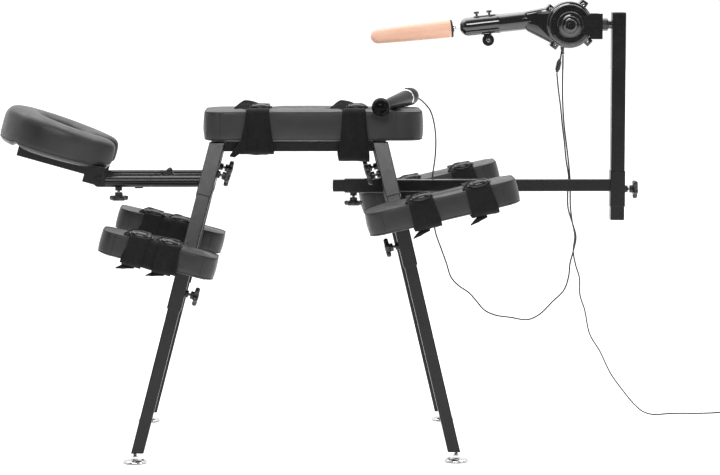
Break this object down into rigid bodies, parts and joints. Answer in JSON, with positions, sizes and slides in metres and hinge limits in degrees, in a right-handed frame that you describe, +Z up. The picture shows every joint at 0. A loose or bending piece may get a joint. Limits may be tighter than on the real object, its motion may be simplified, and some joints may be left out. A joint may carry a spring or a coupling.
{
  "type": "padded restraint bench",
  "caption": "Adult padded restraint bench on telescoping legs, with face cradle, arm and knee rests, strap cuffs, and a rod drive unit on a rear boom and post.",
  "frame": {"origin": "on the floor, at the centre of the object's footprint, without its leads", "axes": "+X from the face cradle towards the post, +Y towards the right side of a person lying face down, +Z up"},
  "size_m": [1.9677, 0.7893, 1.1239],
  "materials": {
    "frame_steel": "satin powder coat",
    "pad_vinyl": "fine-grained vinyl, low sheen",
    "strap_webbing": "matte woven webbing",
    "buckle_plastic": "gloss",
    "knob_plastic": "satin moulded",
    "foot_steel": "polished",
    "drive_shell": "high gloss",
    "inner_steel": "machined",
    "chrome": "polished",
    "silicone": "soft satin silicone",
    "wand_shell": "gloss",
    "button_rubber": "matte",
    "lead_pvc": "satin"
  },
  "bodies": {
    "frame": {"pad_frame": "frame_steel", "leg_frame": "frame_steel", "main_pad": "pad_vinyl", "torso_straps": "strap_webbing", "torso_buckles": "buckle_plastic", "wand_body": "wand_shell", "mains_lead": "lead_pvc", "mains_coil": "lead_pvc", "mains_plug": "lead_pvc", "wand_lead": "lead_pvc"},
    "arm_left": {"arm_bracket_left": "frame_steel", "arm_pad_left": "pad_vinyl", "arm_straps_left": "strap_webbing"},
    "leg_front_left": {"lower_leg_front_left": "frame_steel"},
    "foot_front_left_body": {"foot_front_left": "foot_steel"},
    "upper_knob_front_left_body": {"upper_knob_front_left": "knob_plastic"},
    "lower_knob_front_left_body": {"lower_knob_front_left": "knob_plastic"},
    "arm_right": {"arm_bracket_right": "frame_steel", "arm_pad_right": "pad_vinyl", "arm_straps_right": "strap_webbing"},
    "leg_front_right": {"lower_leg_front_right": "frame_steel"},
    "foot_front_right_body": {"foot_front_right": "foot_steel"},
    "upper_knob_front_right_body": {"upper_knob_front_right": "knob_plastic"},
    "lower_knob_front_right_body": {"lower_knob_front_right": "knob_plastic"},
    "knee_left": {"knee_bracket_left": "frame_steel", "knee_pad_left": "pad_vinyl", "knee_straps_left": "strap_webbing"},
    "leg_rear_left": {"lower_leg_rear_left": "frame_steel"},
    "foot_rear_left_body": {"foot_rear_left": "foot_steel"},
    "upper_knob_rear_left_body": {"upper_knob_rear_left": "knob_plastic"},
    "lower_knob_rear_left_body": {"lower_knob_rear_left": "knob_plastic"},
    "knee_right": {"knee_bracket_right": "frame_steel", "knee_pad_right": "pad_vinyl", "knee_straps_right": "strap_webbing"},
    "leg_rear_right": {"lower_leg_rear_right": "frame_steel"},
    "foot_rear_right_body": {"foot_rear_right": "foot_steel"},
    "upper_knob_rear_right_body": {"upper_knob_rear_right": "knob_plastic"},
    "lower_knob_rear_right_body": {"lower_knob_rear_right": "knob_plastic"},
    "head_rods": {"head_rods": "frame_steel"},
    "cradle_slider": {"cradle_slider": "frame_steel"},
    "cradle": {"cradle_tray": "frame_steel", "cradle_pad": "pad_vinyl"},
    "cradle_knob_left_body": {"cradle_knob_left": "knob_plastic"},
    "cradle_knob_right_body": {"cradle_knob_right": "knob_plastic"},
    "boom": {"boom": "frame_steel"},
    "boom_knob_body": {"boom_knob": "knob_plastic"},
    "post": {"post": "frame_steel", "drive_mount": "drive_shell", "lead_connector": "lead_pvc"},
    "post_knob_body": {"post_knob": "knob_plastic"},
    "mount_nut_body": {"mount_nut": "knob_plastic"},
    "drive": {"housing_left": "drive_shell", "housing_right": "drive_shell", "nose_barrel": "drive_shell", "gearmotor": "inner_steel"},
    "rod": {"slider_yoke": "inner_steel", "chrome_rod": "chrome", "attachment": "silicone"},
    "crank": {"crank_disc": "inner_steel"},
    "wand_button_body": {"wand_button": "button_rubber"}
  },
  "joints": [
    {"name": "arm_slide_left", "type": "slide", "parent": "frame", "child": "arm_left", "axis": [-0.2381, -0.309, -0.9208], "range_m": [-0.022, 0.07]},
    {"name": "leg_slide_front_left", "type": "slide", "parent": "arm_left", "child": "leg_front_left", "axis": [-0.2504, 0, -0.9681], "range_m": [-0.01, 0.025]},
    {"name": "foot_turn_front_left", "type": "hinge", "parent": "leg_front_left", "child": "foot_front_left_body", "pos_m": [-0.463, -0.3, 0], "axis": [0, 0, 1], "range_deg": [-180, 180]},
    {"name": "upper_knob_turn_front_left", "type": "hinge", "parent": "frame", "child": "upper_knob_front_left_body", "pos_m": [-0.256, -0.13672, 0.69258], "axis": [0.9681, 0, -0.2504], "range_deg": [0, 360]},
    {"name": "lower_knob_turn_front_left", "type": "hinge", "parent": "arm_left", "child": "lower_knob_front_left_body", "pos_m": [-0.32954, -0.3, 0.41423], "axis": [0.9681, 0, -0.2504], "range_deg": [0, 360]},
    {"name": "arm_slide_right", "type": "slide", "parent": "frame", "child": "arm_right", "axis": [-0.2381, 0.309, -0.9208], "range_m": [-0.022, 0.07]},
    {"name": "leg_slide_front_right", "type": "slide", "parent": "arm_right", "child": "leg_front_right", "axis": [-0.2504, 0, -0.9681], "range_m": [-0.01, 0.025]},
    {"name": "foot_turn_front_right", "type": "hinge", "parent": "leg_front_right", "child": "foot_front_right_body", "pos_m": [-0.463, 0.3, 0], "axis": [0, 0, 1], "range_deg": [-180, 180]},
    {"name": "upper_knob_turn_front_right", "type": "hinge", "parent": "frame", "child": "upper_knob_front_right_body", "pos_m": [-0.256, 0.13672, 0.69258], "axis": [0.9681, 0, -0.2504], "range_deg": [0, 360]},
    {"name": "lower_knob_turn_front_right", "type": "hinge", "parent": "arm_right", "child": "lower_knob_front_right_body", "pos_m": [-0.32954, 0.3, 0.41423], "axis": [0.9681, 0, -0.2504], "range_deg": [0, 360]},
    {"name": "knee_slide_left", "type": "slide", "parent": "frame", "child": "knee_left", "axis": [0.2172, -0.309, -0.9259], "range_m": [-0.022, 0.07]},
    {"name": "leg_slide_rear_left", "type": "slide", "parent": "knee_left", "child": "leg_rear_left", "axis": [0.2284, 0, -0.9736], "range_m": [-0.01, 0.018]},
    {"name": "foot_turn_rear_left", "type": "hinge", "parent": "leg_rear_left", "child": "foot_rear_left_body", "pos_m": [0.323, -0.3, 0], "axis": [0, 0, 1], "range_deg": [-180, 180]},
    {"name": "upper_knob_turn_rear_left", "type": "hinge", "parent": "frame", "child": "upper_knob_rear_left_body", "pos_m": [0.13278, -0.13672, 0.69276], "axis": [-0.9736, 0, -0.2284], "range_deg": [0, 360]},
    {"name": "lower_knob_turn_rear_left", "type": "hinge", "parent": "knee_left", "child": "lower_knob_rear_left_body", "pos_m": [0.17252, -0.3, 0.52992], "axis": [-0.9736, 0, -0.2284], "range_deg": [0, 360]},
    {"name": "knee_slide_right", "type": "slide", "parent": "frame", "child": "knee_right", "axis": [0.2172, 0.309, -0.9259], "range_m": [-0.022, 0.07]},
    {"name": "leg_slide_rear_right", "type": "slide", "parent": "knee_right", "child": "leg_rear_right", "axis": [0.2284, 0, -0.9736], "range_m": [-0.01, 0.018]},
    {"name": "foot_turn_rear_right", "type": "hinge", "parent": "leg_rear_right", "child": "foot_rear_right_body", "pos_m": [0.323, 0.3, 0], "axis": [0, 0, 1], "range_deg": [-180, 180]},
    {"name": "upper_knob_turn_rear_right", "type": "hinge", "parent": "frame", "child": "upper_knob_rear_right_body", "pos_m": [0.13278, 0.13672, 0.69276], "axis": [-0.9736, 0, -0.2284], "range_deg": [0, 360]},
    {"name": "lower_knob_turn_rear_right", "type": "hinge", "parent": "knee_right", "child": "lower_knob_rear_right_body", "pos_m": [0.17252, 0.3, 0.52992], "axis": [-0.9736, 0, -0.2284], "range_deg": [0, 360]},
    {"name": "head_rod_slide", "type": "slide", "parent": "frame", "child": "head_rods", "axis": [-1, 0, 0], "range_m": [0, 0.07]},
    {"name": "cradle_slide", "type": "slide", "parent": "head_rods", "child": "cradle_slider", "axis": [-1, 0, 0], "range_m": [0, 0.06]},
    {"name": "cradle_tilt", "type": "hinge", "parent": "cradle_slider", "child": "cradle", "pos_m": [-0.56, 0, 0.674], "axis": [0, 1, 0], "range_deg": [-35, 15]},
    {"name": "cradle_knob_turn_left", "type": "hinge", "parent": "cradle_slider", "child": "cradle_knob_left_body", "pos_m": [-0.51, -0.105, 0.652], "axis": [0, 0, -1], "range_deg": [0, 360]},
    {"name": "cradle_knob_turn_right", "type": "hinge", "parent": "frame", "child": "cradle_knob_right_body", "pos_m": [-0.396, 0.083, 0.674], "axis": [0, -1, 0], "range_deg": [0, 360]},
    {"name": "boom_slide", "type": "slide", "parent": "frame", "child": "boom", "axis": [1, 0, 0], "range_m": [-0.25, 0.04], "deforming": ["mains_lead", "wand_lead"]},
    {"name": "boom_knob_turn", "type": "hinge", "parent": "frame", "child": "boom_knob_body", "pos_m": [0.078, 0, 0.6295], "axis": [0, 0, -1], "range_deg": [0, 360]},
    {"name": "post_slide", "type": "slide", "parent": "boom", "child": "post", "axis": [0, 0, 1], "range_m": [-0.06, 0.06], "deforming": ["mains_lead", "wand_lead"]},
    {"name": "post_knob_turn", "type": "hinge", "parent": "boom", "child": "post_knob_body", "pos_m": [0.776, 0, 0.645], "axis": [1, 0, 0], "range_deg": [0, 360]},
    {"name": "mount_nut_turn", "type": "hinge", "parent": "post", "child": "mount_nut_body", "pos_m": [0.705, 0, 1.062], "axis": [1, 0, 0], "range_deg": [0, 360]},
    {"name": "drive_tilt", "type": "hinge", "parent": "post", "child": "drive", "pos_m": [0.622, 0, 1.062], "axis": [0, 1, 0], "range_deg": [-5, 30], "deforming": ["mains_lead"]},
    {"name": "rod_stroke", "type": "slide", "parent": "drive", "child": "rod", "axis": [-0.9945, 0, -0.1045], "range_m": [0, 0.05]},
    {"name": "crank_turn", "type": "hinge", "parent": "drive", "child": "crank", "pos_m": [0.622, 0, 1.062], "axis": [0, 1, 0], "range_deg": [0, 180]},
    {"name": "wand_button_press", "type": "slide", "parent": "frame", "child": "wand_button_body", "axis": [0.0172, 0.0531, -0.9984], "range_m": [0, 0.0015], "stiffness_N_per_m": 800}
  ],
  "couplings": [
    {"joint": "crank_turn", "follows": "rod_stroke", "rad_per_m": 62.832}
  ]
}
